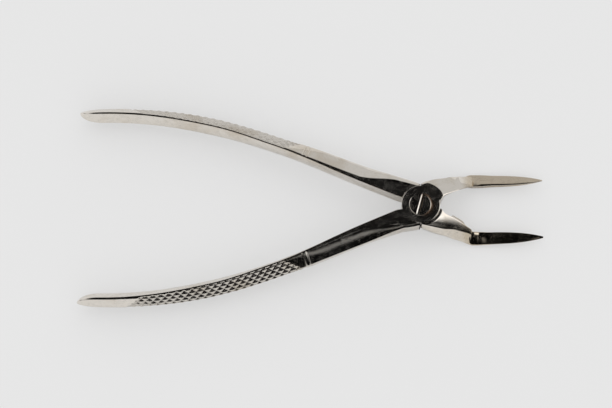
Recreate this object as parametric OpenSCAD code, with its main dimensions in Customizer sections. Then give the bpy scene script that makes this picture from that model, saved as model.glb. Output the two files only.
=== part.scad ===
// Slender root forceps with a half-lapped screw joint, lying open.
// Millimetres. Z is the pivot axis with the screw head up, +X points to the beaks,
// and the underside of the joint is at z = 0.

/* [Joint] */
// Radius of the half-thickness disc on each lever
disc_r = 7.25; // [6:0.05:9]
// Thickness of the joint, both discs together
joint_h = 9; // [7:0.1:12]
// Running gap between the two lapped faces
lap_gap = 0.06; // [0.02:0.01:0.2]
// Running gap between a disc and the shoulder that goes round it
shoulder_gap = 0.12; // [0.05:0.01:0.4]
// Thickness of a shoulder where it ends at the stop face
waist_wall = 0.65; // [0.4:0.05:2]
// Gap between the opening stops as the forceps lies open
stop_gap = 0.3; // [0.1:0.05:0.8]
// Angle of each neck's closing face from the middle
neck_face_angle = 13.2; // [11:0.1:18]
// Width of the flat rim on a neck outside the disc
neck_rim = 1.35; // [0.5:0.05:3]

/* [Pivot screw] */
// Diameter of the screw head
head_d = 8.3; // [6:0.1:10]
// Height of the screw head
head_h = 2.2; // [1.4:0.1:3]
// How far the domed head stands above the joint
head_proud = 0.15; // [0:0.05:0.5]
// Running gap round and under the head
head_gap = 0.06; // [0.02:0.01:0.2]
// Diameter of the screw shank
shank_d = 4.6; // [3:0.1:5.6]
// Radial running gap of the shank in the upper lever
shank_gap = 0.05; // [0.01:0.01:0.1]
// Diameter of the riveted-over tail at the underside
tail_d = 6.2; // [5.8:0.1:8]
// Height of the riveted-over tail
tail_h = 0.9; // [0.4:0.1:1.5]
// Width of the screwdriver slot
slot_w = 0.9; // [0.5:0.05:1.5]
// Depth of the screwdriver slot
slot_depth = 1.1; // [0.5:0.1:1.3]
// Direction of the slot, from +X
slot_angle = 74; // [0:1:180]

/* [Handles] */
// Distance from the pivot axis to the end of a handle, along X
handle_reach = 129.5; // [100:0.5:160]
// Distance of a handle's end from the middle line
handle_spread = 35.4; // [28:0.1:42]
// Distance of the handle's root from the middle line
handle_root_y = 6.2; // [5.5:0.1:8]
// Shift of both handles to the +Y side where they leave the joint
handle_skew = 0.6; // [0:0.05:1]
// Angle at which the handle leaves the joint
handle_angle = 20.5; // [12:0.5:28]
// Angle at which the handle's end turns back in
handle_end_angle = 4; // [0:0.2:12]
// Thickness of the handle at the joint
handle_t_root = 7.5; // [5.5:0.1:9]
// Thickness of the handle between the joint and the grip
handle_t_neck = 6.1; // [4.5:0.1:8]
// Thickness of the handle in the middle of the grip
handle_t_grip = 6.5; // [4.5:0.1:8]
// Thickness of the handle just before its round end
handle_t_end = 5.3; // [3.5:0.1:7]
// Depth of the handle across its ridges at the grip
handle_h_grip = 10.4; // [8:0.1:13]
// Depth of the handle across its ridges before its round end
handle_h_end = 9.2; // [7:0.1:12]
// Drop of the handle's end below the middle of the joint
handle_drop = 1.3; // [0:0.1:4]
// Width of the flat on top of the handle at the joint
top_flat_root = 4.9; // [2:0.1:6]
// Width of the blunted ridge along the grip
ridge_flat = 0.35; // [0.2:0.05:1]
// Bulge of the handle's inner face at the grip
inner_bulge = 2.1; // [0.5:0.1:2.6]
// Bulge of the handle's inner face just before its round end
inner_bulge_end = 2.5; // [0.5:0.1:2.8]
// Length of the round end
handle_cap = 7.5; // [3:0.1:10]
// Lean of the round end to the outside, as a share of its half thickness
cap_lean = 0.55; // [0:0.05:0.9]

/* [Cross-cut grip] */
// Distance from the pivot axis to the start of the grip pattern, as a share of the handle
grip_start = 0.343; // [0.2:0.001:0.5]
// Distance from the pivot axis to the end of the grip pattern, as a share of the handle
grip_end = 0.835; // [0.6:0.005:0.9]
// Number of diamonds along the grip
grip_diamonds = 18; // [8:1:30]
// Depth of the grooves between the diamonds
grip_depth = 0.4; // [0.1:0.05:0.6]
// Depth of the two ring lines beside the grip
ring_depth = 0.25; // [0.1:0.05:0.5]
// Width of each ring line
ring_w = 0.5; // [0.3:0.05:1]
// Distance between the two ring lines
ring_pitch = 1.6; // [1.2:0.1:3]

/* [Necks and beaks] */
// Distance from the pivot axis to the points of the beaks, along X
beak_reach = 46.6; // [38:0.1:60]
// Distance from the pivot axis to the heel of the beak, along X
heel_x = 21; // [18:0.1:25]
// Distance of the heel from the middle line
heel_y = 11.3; // [9:0.05:12.5]
// Distance of the beak's point from the middle line
tip_y = 11.05; // [10.7:0.05:12.5]
// Distance of the neck's outer side from the middle line, where it leaves the joint
neck_out_y = 11; // [9.5:0.1:12]
// Lean of the neck's sections towards the beak as the neck drops, per millimetre of height
neck_lean = 0.4; // [0:0.05:0.6]
// Splay of the neck's outer side towards its top, per millimetre of height
neck_splay = 0.2; // [0:0.05:0.3]
// Width of the beak at its heel
heel_w = 4.9; // [3.8:0.1:5.5]
// Width of the slender beak beyond its heel
beak_w = 4.3; // [2.5:0.1:4.8]
// Depth of the beak at its heel
heel_h = 3.9; // [3.2:0.1:6]
// Height of the heel's middle over the underside of the joint
heel_z = -1.1; // [-1.5:0.1:3]
// Height of the beak's point over the underside of the joint
tip_z = 0.9; // [0:0.1:4]
// Width of the beak's blunt point
tip_w = 0.5; // [0.3:0.05:1]
// Depth of the beak's blunt point
tip_h = 0.9; // [0.5:0.05:2]
// Depth of the hollow along the inside of the beak
gouge = 0.45; // [0.1:0.05:0.7]

/* [Hidden] */
// Clear length from the disc to where the neck's own sections start
neck_clear = 2.25;
// Length over which the neck's inner edge turns into the beak's
heel_turn = 2.5;
// Length before the heel in which the neck's top has reached the beak's height
neck_foot = 0.8;
// Length over which the underside of the neck stays level with the joint's
neck_level = 3.5;

steel_under = [0.72, 0.70, 0.67];
steel_over = [0.80, 0.78, 0.75];
steel_screw = [0.62, 0.60, 0.57];

mid_z = joint_h / 2;
shoulder_r = disc_r + shoulder_gap;
waist_y = shoulder_r + waist_wall;
rim_r = disc_r + neck_rim;
root_x = disc_r + 0.55;

// Number of steps over one flank, a multiple of 4, and over one inner face
flank_steps = 8;
inner_steps = 4;
// Exponent of the flank's curve: 2 is an ellipse, 1 a straight bevel
flank_p = 1.2;

function mix(a, b, t) = a + (b - a) * t;
function ease(t) = let (s = min(1, max(0, t))) s * s * (3 - 2 * s);

// Value at x of a curve that eases from one [x, value] knot to the next
function eased(x, k, i = 0) =
    i >= len(k) - 2 || x < k[i + 1][0]
        ? mix(k[i][1], k[i + 1][1], ease((x - k[i][0]) / (k[i + 1][0] - k[i][0])))
        : eased(x, k, i + 1);

function power(v, e) = v <= 0 ? 0 : pow(v, e);

// One section as [distance from its inner edge, height] pairs, outside first.
// t thickness, zc middle height, h depth, b inner bulge, f flat, c bevel depth,
// hollow depth of the inner face, row number of the grip pattern (-1 for none)
function section(t, zc, h, b, f, c, hollow = 0, row = -1, inset = 0) =
    let (
        a = t - b - f,
        q = flank_steps / 2,
        e = 2 / flank_p,
        cut = row < 0 ? inset : grip_depth
    )
    concat(
        [for (side = [1, -1]) for (i = [0:q])
            let (
                k = side > 0 ? i : q - i,
                phi = 90 - 90 * k / q,
                high = row >= 0 && (k + row) % 2 == 0,
                edge = side > 0 ? i == 0 : i == q,
                d = edge || high ? 0 : cut,
                n = b + f + a * power(cos(phi), e) - d * sin(90 - phi * 0.6),
                z = h / 2 - c + c * power(sin(phi), e) - d * sin(phi * 0.6)
            )
            [n, zc + side * z]],
        [for (i = [0:inner_steps])
            let (
                phi = -90 + 180 * i / inner_steps,
                n = b - b * power(cos(phi), e) + hollow * cos(phi)
            )
            [n, zc + sign(phi) * h / 2 * power(abs(sin(phi)), e)]]
    );

// A section stood on the line from plan point p (inner edge) to plan point q, leaning
// along X by lean for each millimetre over height zc
function stand(p, q, s, lean = 0, zc = 0) =
    let (d = (q - p) / norm(q - p))
    [for (v = s) [p[0] + d[0] * v[0] + lean * (v[1] - zc), p[1] + d[1] * v[0], v[1]]];

// The same section with its outer side splayed outwards by k for each millimetre over zc
function splayed(s, t, k, zc) = [for (v = s) [v[0] * (1 + k * (v[1] - zc) / t), v[1]]];

// Solid through a row of sections; grip is the index of the first section of the grip
// pattern, where each quad is split along its groove
module skin(rings, grip = 0) {
    m = len(rings[0]);
    n = len(rings);
    polyhedron(
        points = [for (r = rings) for (p = r) p],
        faces = concat(
            [[for (j = [0:m - 1]) j]],
            [for (i = [0:n - 2]) for (j = [0:m - 1])
                let (
                    a = i * m + j,
                    b = i * m + (j + 1) % m,
                    flip = (i + grip + (j > flank_steps / 2 ? j - 1 : j)) % 2 == 0
                )
                for (k = [0, 1])
                    flip
                        ? (k == 0 ? [a, a + m, b] : [b, a + m, b + m])
                        : (k == 0 ? [a, b + m, b] : [a, a + m, b + m])],
            [[for (j = [m:-1:1]) (n - 1) * m + j % m]]
        ),
        convexity = 8
    );
}

// Middle line of a handle in plan, on the +Y side
arm = handle_reach / 3.14;
h0 = [-root_x, handle_root_y];
h3 = [-handle_reach, handle_spread];
h1 = h0 + arm * [-cos(handle_angle), sin(handle_angle)];
h2 = h3 + 1.23 * arm * [cos(handle_end_angle), sin(handle_end_angle)];

function path(u) =
    pow(1 - u, 3) * h0 + 3 * pow(1 - u, 2) * u * h1 + 3 * (1 - u) * u * u * h2 + pow(u, 3) * h3;
function heading(u) =
    let (d = pow(1 - u, 2) * (h1 - h0) + 2 * (1 - u) * u * (h2 - h1) + u * u * (h3 - h2))
    d / norm(d);

cap = handle_cap / handle_reach;
// Share of the handle's length at which it is at its slimmest before the grip
neck_u = 0.42;
grip_step = (grip_end - grip_start) / (2 * grip_diamonds);
ring_at = grip_start - 2.2 / handle_reach;
ring_u = ring_w / handle_reach;
ring_gap = ring_pitch / handle_reach;

// Sections of a handle on the +Y side; skew is its shift outwards at the joint
function handle_ring(u, skew, row = -1, inset = 0) =
    let (
        shrink = u < 1 - cap ? 1 : sqrt(max(0.02, 1 - pow((u - 1 + cap) / cap, 2))),
        near = pow(max(0, 1 - u / neck_u), 2),
        t = shrink * (near * (handle_t_root - handle_t_neck)
            + eased(max(u, neck_u), [[neck_u, handle_t_neck], [0.62, handle_t_grip],
                [0.98, handle_t_end]])),
        h = mix(1, shrink, 0.9) * eased(u, [[0, joint_h], [0.6, handle_h_grip], [0.98, handle_h_end]]),
        b = shrink * eased(u, [[0.08, 0], [0.34, inner_bulge / 2], [0.62, inner_bulge],
            [0.96, inner_bulge_end]]),
        f = shrink * mix(ridge_flat, top_flat_root, near),
        c = mix(0.62, 0.92, ease(u / 0.35)) * h / 2,
        d = heading(u),
        out = [d[1], -d[0]],
        p = path(u) + [0, skew * (1 - ease(u / 0.45))]
            + out * cap_lean * (1 - shrink) * handle_t_end / 2
    )
    stand(p - out * t / 2, p + out * t / 2,
        section(t, mid_z - handle_drop * pow(u, 1.4), h, b, f, c, 0, row, inset));

// Handle on the +Y side, from its stop face to its round end
module handle(skew) {
    face_x = -stop_gap / 2;
    steps = 2 * grip_diamonds;
    root = concat(
        [stand([face_x, 0.5], [face_x, waist_y],
            section(waist_y - 0.5, mid_z, joint_h, 0, waist_y - 0.8, 0.3))],
        [for (u = [0:0.045:ring_at - ring_gap - 0.02]) handle_ring(u, skew)],
        [for (k = [1, 0])
            for (s = [-1, 0, 1])
                handle_ring(ring_at - k * ring_gap + s * ring_u / 2, skew, -1,
                    s == 0 ? ring_depth : 0)]
    );
    skin(concat(
        root,
        [for (i = [0:steps])
            handle_ring(grip_start + i * grip_step, skew, i == 0 || i == steps ? -1 : i)],
        [for (u = [grip_end + 0.025:0.035:1 - cap - 0.01]) handle_ring(u, skew)],
        [for (a = [0:15:75]) handle_ring(1 - cap + cap * sin(a), skew)],
        [handle_ring(1, skew)]
    ), len(root));
}

// Neck and beak on the +Y side
neck_start = disc_r + neck_clear;
heel_in = heel_y - heel_w / 2;
heel_bulge = 0.24 * heel_w;
ridge_start = rim_r * [cos(neck_face_angle), sin(neck_face_angle)];
ridge_end = [heel_x - heel_turn, heel_in + 0.2];

function neck_ring(x) =
    let (
        s = (x - neck_start) / (heel_x - neck_start),
        b = mix(0.25, heel_bulge, ease(s * 2 - 1)),
        r = min(1, (x - ridge_start[0]) / (ridge_end[0] - ridge_start[0])),
        ridge = mix(ridge_start[1], ridge_end[1], r)
            + (heel_bulge - 0.2) * ease((x - ridge_end[0]) / heel_turn),
        yi = ridge - b,
        yo = mix(neck_out_y, heel_y + heel_w / 2, 1 - pow(1 - s, 1.05)),
        fall = max(0, (x - neck_start) / (heel_x - neck_foot - neck_start)),
        top = mix(joint_h, heel_z + heel_h / 2, min(1, pow(fall, 1.8))),
        low = eased(x, [[neck_start + neck_level, 0], [heel_x, heel_z - heel_h / 2]]),
        h = top - low,
        zc = (top + low) / 2
    )
    stand([x, yi], [x, yo],
        splayed(section(yo - yi, zc, h, b, 0.3, 0.45 * h), yo - yi, neck_splay * (1 - s), zc),
        neck_lean * sin(180 * s), zc);

function beak_ring(x) =
    let (
        s = (x - heel_x) / (beak_reach - heel_x),
        w = tip_w + (beak_w - tip_w) * (1 - pow(s, 3.5))
            + (heel_w - beak_w) * (1 - ease((x - heel_x - 1) / 7)),
        h = tip_h + (heel_h - tip_h) * (1 - pow(s, 2.4)),
        y = mix(heel_y, tip_y, s),
        b = heel_bulge * (1 - ease((x - heel_x) / 4)),
        f = mix(0.3, 0.12, s),
        hollow = gouge * ease((x - heel_x - 2) / 4) * (1 - pow(s, 3))
    )
    stand([x, y - w / 2], [x, y + w / 2],
        section(w, mix(heel_z, tip_z, s), h, b, f, 0.45 * h, hollow));

function root_ring(x) =
    let (
        s = (x - stop_gap / 2) / (neck_start - stop_gap / 2),
        yi = mix(0.3, 0.5, s),
        yo = mix(waist_y, neck_out_y, pow(s, 0.6)),
        rim = max(yi + 0.5, sqrt(max(0, rim_r * rim_r - x * x))),
        edge = min(rim, yo - 0.3)
    )
    stand([x, yi], [x, yo],
        splayed(section(yo - yi, mid_z, joint_h, 0, edge - yi, mix(0.3, 0.9 * mid_z, s)),
            yo - yi, neck_splay * min(1, 4 * s), mid_z));

module neck_and_beak() {
    cap_x = beak_reach - 2;
    skin(concat(
        [for (a = [3:-1:1]) beak_ring(cap_x + 2 * sin(30 * a))],
        [for (i = [10:-1:0]) beak_ring(mix(heel_x, cap_x, i / 10))],
        [for (i = [10:-1:0]) neck_ring(mix(neck_start, heel_x - 0.8, i / 10))],
        [for (i = [5:-1:0]) root_ring(mix(stop_gap / 2, neck_start - 1.5, i / 5))]
    ));
}

// Wedge of air between the two necks, seen from above
module closing_wedge() {
    far = 3 * disc_r;
    a = neck_face_angle;
    translate([0, 0, -joint_h])
        linear_extrude(3 * joint_h)
            polygon([[0, -far], [far, -far], [far, 0], far / 2 * [cos(a), sin(a)], [0, 0]]);
}

// Both arms of one lever, with the handle on the -Y side and the beak on the +Y side
module arms(skew) {
    mirror([0, 1, 0])
        handle(skew);
    difference() {
        neck_and_beak();
        closing_wedge();
    }
}

module over_lever() color(steel_over)
difference() {
    union() {
        difference() {
            arms(-handle_skew);
            translate([0, 0, -joint_h])
                cylinder(r = shoulder_r, h = joint_h + mid_z + lap_gap / 2, $fn = 96);
        }
        translate([0, 0, mid_z + lap_gap / 2])
            cylinder(r = disc_r, h = mid_z - lap_gap / 2, $fn = 96);
    }
    translate([0, 0, mid_z - 1])
        cylinder(r = shank_d / 2 + shank_gap, h = mid_z + 2, $fn = 64);
    translate([0, 0, joint_h - head_h + head_proud - head_gap])
        cylinder(r = head_d / 2 + head_gap, h = head_h + 1, $fn = 64);
}

module under_lever() color(steel_under)
difference() {
    union() {
        difference() {
            mirror([0, 1, 0])
                arms(handle_skew);
            translate([0, 0, mid_z - lap_gap / 2])
                cylinder(r = shoulder_r, h = joint_h, $fn = 96);
        }
        cylinder(r = disc_r, h = mid_z - lap_gap / 2, $fn = 96);
    }
    translate([0, 0, tail_h])
        cylinder(r = shank_d / 2, h = joint_h, $fn = 64);
    tail();
}

// Cone of the riveted-over tail, which fills the countersink in the lower disc
module tail() {
    cylinder(r1 = tail_d / 2, r2 = shank_d / 2, h = tail_h, $fn = 64);
}

module pivot_screw() color(steel_screw)
difference() {
    head_z = joint_h + head_proud - head_h;
    rim = 0.3;
    union() {
        tail();
        translate([0, 0, tail_h])
            cylinder(r = shank_d / 2, h = head_z + 0.5 - tail_h, $fn = 64);
        translate([0, 0, head_z])
            cylinder(r = head_d / 2, h = head_h - rim, $fn = 64);
        translate([0, 0, head_z + head_h - rim])
            cylinder(r1 = head_d / 2, r2 = head_d / 2 - rim, h = rim, $fn = 64);
    }
    rotate([0, 0, slot_angle])
        translate([-head_d, -slot_w / 2, head_z + head_h - slot_depth])
            cube([2 * head_d, slot_w, slot_depth + 1]);
}

under_lever();
over_lever();
pivot_screw();
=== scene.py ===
"""Looks of the slender root forceps: two polished levers on one slotted pivot screw."""

from math import cos, pi, radians, sin, tan

import bpy
import numpy as np
from bpy.props import FloatProperty, FloatVectorProperty, PointerProperty
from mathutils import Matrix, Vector


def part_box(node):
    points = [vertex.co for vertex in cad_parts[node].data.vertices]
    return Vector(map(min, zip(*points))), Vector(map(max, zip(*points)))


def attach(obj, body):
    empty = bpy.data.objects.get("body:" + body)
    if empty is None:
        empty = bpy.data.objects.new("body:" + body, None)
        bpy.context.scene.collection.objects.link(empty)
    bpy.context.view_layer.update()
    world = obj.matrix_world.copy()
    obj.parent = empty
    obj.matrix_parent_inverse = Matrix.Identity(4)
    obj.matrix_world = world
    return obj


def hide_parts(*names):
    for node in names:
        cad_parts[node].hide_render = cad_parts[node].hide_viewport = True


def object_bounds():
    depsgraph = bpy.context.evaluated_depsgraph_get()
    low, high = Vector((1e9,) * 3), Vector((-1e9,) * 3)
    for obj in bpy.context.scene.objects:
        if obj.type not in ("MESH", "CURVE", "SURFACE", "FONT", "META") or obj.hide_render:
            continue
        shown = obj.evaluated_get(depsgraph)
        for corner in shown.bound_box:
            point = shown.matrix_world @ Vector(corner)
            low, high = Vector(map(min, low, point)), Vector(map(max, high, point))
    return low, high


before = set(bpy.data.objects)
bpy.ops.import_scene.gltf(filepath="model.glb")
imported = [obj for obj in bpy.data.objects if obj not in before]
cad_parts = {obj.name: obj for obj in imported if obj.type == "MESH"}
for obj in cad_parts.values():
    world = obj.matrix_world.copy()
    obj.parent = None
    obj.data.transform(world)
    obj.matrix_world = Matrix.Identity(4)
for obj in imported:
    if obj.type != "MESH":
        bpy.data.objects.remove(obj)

bl_info = {
    "name": "Root forceps",
    "version": (1, 0, 0),
    "blender": (4, 5, 0),
    "location": "3D View > Sidebar > Forceps",
    "description": "Builds slender root forceps, their finishes and a plain studio",
    "category": "Add Mesh",
}

mm = 0.001
CAD_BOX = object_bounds()
SCREW_LOW, SCREW_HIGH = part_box("pivot_screw")
HEAD_R = (SCREW_HIGH.x - SCREW_LOW.x) / 2
PHOTO_WIDTH = 612


def size(name, words, value):
    """A length that a user may change."""
    return FloatProperty(name=name, description=words, default=value, unit="LENGTH", precision=5)


def angle(name, words, degrees):
    """An angle that a user may change."""
    return FloatProperty(name=name, description=words, default=radians(degrees), unit="ROTATION")


def share(name, words, value):
    """A share from 0 to 1 that a user may change."""
    return FloatProperty(name=name, description=words, default=value, min=0, max=1,
                         subtype="FACTOR")


def colour(name, words, value):
    """A colour that a user may change."""
    return FloatVectorProperty(name=name, description=words, default=value, size=3, min=0, max=1,
                               subtype="COLOR")


class ForcepsJoint(bpy.types.PropertyGroup):
    """Sizes of the lap joint and its screw."""

    disc_r: size("Disc radius", "Radius of the half-thickness disc on each lever", 7.25 * mm)
    height: size("Joint height", "Thickness of both discs together", 9 * mm)
    lap_gap: size("Lap gap", "Running gap between the lapped faces", 0.06 * mm)
    shoulder_gap: size("Shoulder gap", "Running gap round each disc", 0.12 * mm)
    waist_wall: size("Waist wall", "Thickness of a shoulder at its stop face", 0.65 * mm)
    stop_gap: size("Stop gap", "Gap between the opening stops", 0.3 * mm)
    face_angle: angle("Closing face", "Angle of each neck's closing face from the middle", 13.2)
    round_edge: size("Edge rounding", "Rounding of the joint's turned edges", 0.14 * mm)
    head_gap: size("Head gap", "Gap round and under the screw head", 0.06 * mm)
    head_h: size("Head height", "Height of the screw head", 2.2 * mm)
    shank_d: size("Shank diameter", "Diameter of the screw shank", 4.6 * mm)
    shank_gap: size("Shank gap", "Running gap of the shank in the over lever", 0.05 * mm)
    tail_d: size("Tail diameter", "Diameter of the riveted tail", 6.2 * mm)
    tail_h: size("Tail height", "Height of the riveted tail", 0.9 * mm)
    slot_w: size("Slot width", "Width of the screwdriver slot", 0.9 * mm)
    slot_depth: size("Slot depth", "Depth of the screwdriver slot", 1.1 * mm)
    slot_angle: angle("Slot direction", "Direction of the slot from +X", 74)


class ForcepsHandle(bpy.types.PropertyGroup):
    """Sizes of the two handles and their cross-cut grip."""

    reach: size("Reach", "From the pivot axis to a handle's end", 129.5 * mm)
    spread: size("Spread", "From the middle line to a handle's end", 35.4 * mm)
    root_y: size("Root offset", "From the middle line to a handle's root", 6.2 * mm)
    skew: size("Root shift", "Shift of both handles to +Y at the joint", 0.6 * mm)
    root_angle: angle("Root angle", "Angle at which a handle leaves the joint", 20.5)
    end_angle: angle("End angle", "Angle at which a handle's end turns in", 4)
    thick_root: size("Root thickness", "Thickness at the joint", 7.5 * mm)
    thick_neck: size("Neck thickness", "Thickness between joint and grip", 6.1 * mm)
    thick_grip: size("Grip thickness", "Thickness in the middle of the grip", 6.5 * mm)
    thick_end: size("End thickness", "Thickness before the round end", 5.3 * mm)
    deep_grip: size("Grip depth", "Depth across the ridges at the grip", 10.4 * mm)
    deep_end: size("End depth", "Depth across the ridges at the end", 9.2 * mm)
    drop: size("Drop", "Drop of the end below the middle of the joint", 1.3 * mm)
    top_flat: size("Top flat", "Added width of the flat on top at the joint", 4.9 * mm)
    ridge: size("Ridge", "Place of the blunted ridge from the inner face", 0.7 * mm)
    inner_bulge: size("Inner bulge", "Bulge of the inner face at the grip", 2.1 * mm)
    end_bulge: size("End bulge", "Bulge of the inner face at the end", 2.5 * mm)
    cap: size("Round end", "Length of the round end", 7.5 * mm)
    cap_lean: share("End lean", "Lean of the round end to the outside", 0.55)
    grip_start: share("Grip start", "Start of the grip along the handle", 0.328)
    grip_end: share("Grip end", "End of the grip along the handle", 0.875)
    pitch: size("Groove pitch", "Distance between parallel grooves", 2.1 * mm)
    groove_w: size("Groove width", "Width of a groove at the surface", 1.9 * mm)
    groove_d: size("Groove depth", "Depth of the grip's grooves", 0.32 * mm)
    ring_w: size("Ring width", "Width of each ring line", 0.55 * mm)
    ring_d: size("Ring depth", "Depth of each ring line", 0.25 * mm)
    ring_pitch: size("Ring pitch", "Distance between the ring lines", 1.6 * mm)
    ring_back: size("Ring distance", "From the ring line to the grip", 0.6 * mm)
    shoulder: size("Shoulder", "Half the added width over which flat turns to flank", 1 * mm)
    flank_in: angle("Inner flank slope", "Slope of the root's flank next to its flat", 23)
    flank_out: angle("Outer flank slope", "Slope of the root's flank at its outer edge", 40)
    edge_round: size("Edge rounding", "Rounding of the ridges", 0.11 * mm)


class ForcepsBeak(bpy.types.PropertyGroup):
    """Sizes of the necks and the beaks."""

    reach: size("Reach", "From the pivot axis to a beak's point", 46.6 * mm)
    heel_x: size("Heel place", "From the pivot axis to the heel along X", 21 * mm)
    heel_y: size("Heel offset", "From the middle line to the heel", 11.3 * mm)
    tip_y: size("Tip offset", "From the middle line to the point", 11.05 * mm)
    neck_y: size("Neck offset", "From the middle line to the neck's outer side", 11 * mm)
    crease_y: size("Crease", "From the middle line to the neck's upper outer edge", 9 * mm)
    fall: share("Fall", "Slope of the neck's top where it leaves the rim lengthways", 0.18)
    side_fall: share("Side fall", "Added slope where it leaves the rim sideways", 0.5)
    fall_more: FloatProperty(name="Fall more", description="Growth of that slope per metre",
                             default=22)
    heel_round: size("Heel rounding", "Length of the under lever's round heel end", 2.2 * mm)
    heel_back: size("Heel back", "From the heel place back to the round end", 3.2 * mm)
    heel_rise: size("Heel rise", "Height of the under lever's heel above its beak", 0.7 * mm)
    heel_w: size("Heel width", "Width of the beak at its heel", 4.9 * mm)
    beak_w: size("Beak width", "Width of the beak beyond its heel", 4.3 * mm)
    heel_h: size("Heel depth", "Depth of the beak at its heel", 3.9 * mm)
    heel_z: size("Heel height", "Height of the heel's middle", -1.1 * mm)
    tip_z: size("Tip height", "Height of the point", 0.9 * mm)
    tip_w: size("Tip width", "Width of the blunt point", 0.5 * mm)
    tip_h: size("Tip depth", "Depth of the blunt point", 0.9 * mm)
    gouge: size("Hollow", "Depth of the hollow along the inside", 0.45 * mm)


class ForcepsColours(bpy.types.PropertyGroup):
    """Colours of the steel and of the studio."""

    steel: colour("Steel", "Polished plated steel", (0.81, 0.765, 0.70))
    warm: colour("Warm steel", "Steel where its plating is thin", (0.60, 0.52, 0.41))
    # Darker colour in the grooves, ring lines and grip: partly dirt, partly painted shade.
    groove_dirt_shade: colour("Grime", "Dirt in grooves and corners", (0.10, 0.085, 0.07))
    # Brown round the screw: partly a stain, partly painted shade on the right side of the rings
    # and in the slot.
    stain: colour("Stain", "Brown stain round the screw", (0.16, 0.085, 0.04))
    # Near black painted into the stop gap: painted shade.
    gap: colour("Gap", "Dark inside the stop gap", (0.01, 0.01, 0.01))
    floor: colour("Floor", "Pale matt surface under the forceps", (0.80, 0.80, 0.80))


GROUPS = {
    "forceps_joint": ForcepsJoint,
    "forceps_handle": ForcepsHandle,
    "forceps_beak": ForcepsBeak,
    "forceps_colours": ForcepsColours,
}


# Curves and sections

FINE = 40


def smooth(t):
    """Ease from 0 to 1."""
    t = np.clip(t, 0, 1)
    return t * t * (3 - 2 * t)


def rises(x, start, length):
    """0 up to start, 1 from a length further on, eased between."""
    return smooth((x - start) / length)


def fades(x, start, length):
    """1 up to start, 0 from a length further on, eased between."""
    return 1 - rises(x, start, length)


def mix(a, b, t):
    """Value at the share t of the way from a to b."""
    return a + (b - a) * t


def eased(x, knots):
    """Value at x of a curve that eases from one (x, value) knot to the next."""
    for (x0, v0), (x1, v1) in zip(knots, knots[1:]):
        if x < x1:
            break
    return mix(v0, v1, rises(x, x0, x1 - x0))


def spaced(steps):
    """Shares from 0 to 1 that crowd a little towards both ends, without the last."""
    crowding = 0.6
    k = np.arange(steps) / steps
    return mix(k, (1 - np.cos(pi * k)) / 2, crowding)


def bend(p0, p1, p2):
    """Points of a quadratic curve from p0 to p2 that heads for p1."""
    t = np.linspace(0, 1, FINE)[:, None]
    return (1 - t) ** 2 * np.array(p0) + 2 * t * (1 - t) * np.array(p1) + t * t * np.array(p2)


def flank_line(start, end, drop, place, soft, rise):
    """Points of a flank that starts level and turns to its slope round place, as far as soft
    on both sides. It drops by drop in all; its slope grows by rise to the outer edge."""
    least_slope = 0.02
    n = np.linspace(start[0], end, 2 * FINE)
    past = n - start[0] - place
    beyond = np.maximum(0, past) / (end - start[0] - place)
    slope = least_slope + rises(past, -soft, 2 * soft) * (1 + rise * beyond)
    fall = np.concatenate([[0], np.cumsum((slope[1:] + slope[:-1]) / 2 * np.diff(n))])
    return np.stack([n, start[1] - fall * drop / fall[-1]], 1)


def outline(pieces, rounding):
    """Points of a closed outline, their distances along it and those of its lines' points.
    Each piece is a line of points and its number of steps; corners are rounded by averaging
    along the line."""
    line = np.concatenate([p for p, _ in pieces])
    run = np.concatenate([[0], np.cumsum(np.hypot(*np.diff(line, axis=0).T))])
    stops, start = [], 0
    for piece, steps in pieces:
        end = start + len(piece) - 1
        stops.append(run[start] + (run[end] - run[start]) * spaced(steps))
        start = end + 1
    at = np.concatenate(stops)
    taps = np.linspace(-2, 2, 9)
    weight = np.exp(-taps * taps / 2)
    weight /= weight.sum()
    place = (at[:, None] + taps[None, :] * rounding) % run[-1]
    n = (np.interp(place, run, line[:, 0]) * weight).sum(1)
    z = (np.interp(place, run, line[:, 1]) * weight).sum(1)
    return n, z, at, run


HANDLE_STEPS = {"flank": 36, "wall": 6, "inner": 28}


def handle_section(thick, deep, bulge, place, soft, drop, rise, rounding):
    """Rows of (distance from the inner edge, height from the middle, distance round the
    flank from its middle, 1 on the flank and 0 elsewhere)."""
    steps = HANDLE_STEPS
    half = deep / 2
    flank = flank_line((bulge, half), thick, drop, place, soft, rise)
    wall = np.array([[thick, half - drop], [thick, drop - half]])
    bulge_foot = half - min(0.95 * half, 1.9 * bulge)
    inner = bend((bulge, half), (0, bulge_foot), (0, 0))
    inner_line = np.concatenate([inner * [1, -1], inner[::-1][1:]])
    pieces = [(flank, steps["flank"]), (wall, steps["wall"]),
              (flank[::-1] * [1, -1], steps["flank"]), (inner_line, steps["inner"])]
    n, z, at, run = outline(pieces, rounding)
    side = np.zeros(len(at))
    side[:2 * steps["flank"] + steps["wall"]] = 1
    return np.stack([n, z, at - run[len(flank)] - (half - drop), side], 1)


def stand(p, q, n, z):
    """Stand a section on the line from plan point p, its inner edge, towards q."""
    d = (q - p) / np.hypot(*(q - p))
    return np.stack([p[0] + d[0] * n, p[1] + d[1] * n, z], 1)


def put(name, mesh):
    """New object of a mesh, in the scene."""
    made = bpy.data.objects.new(name, mesh)
    bpy.context.scene.collection.objects.link(made)
    return made


def solid(name, points, faces):
    """New object of points and faces."""
    mesh = bpy.data.meshes.new(name)
    mesh.from_pydata(points, [], faces)
    mesh.update()
    return put(name, mesh)


def store(piece, name, values):
    """Keep a number for each point of a piece."""
    layer = piece.data.attributes.get(name) or piece.data.attributes.new(name, "FLOAT", "POINT")
    layer.data.foreach_set("value", np.asarray(values, np.float32))


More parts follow.
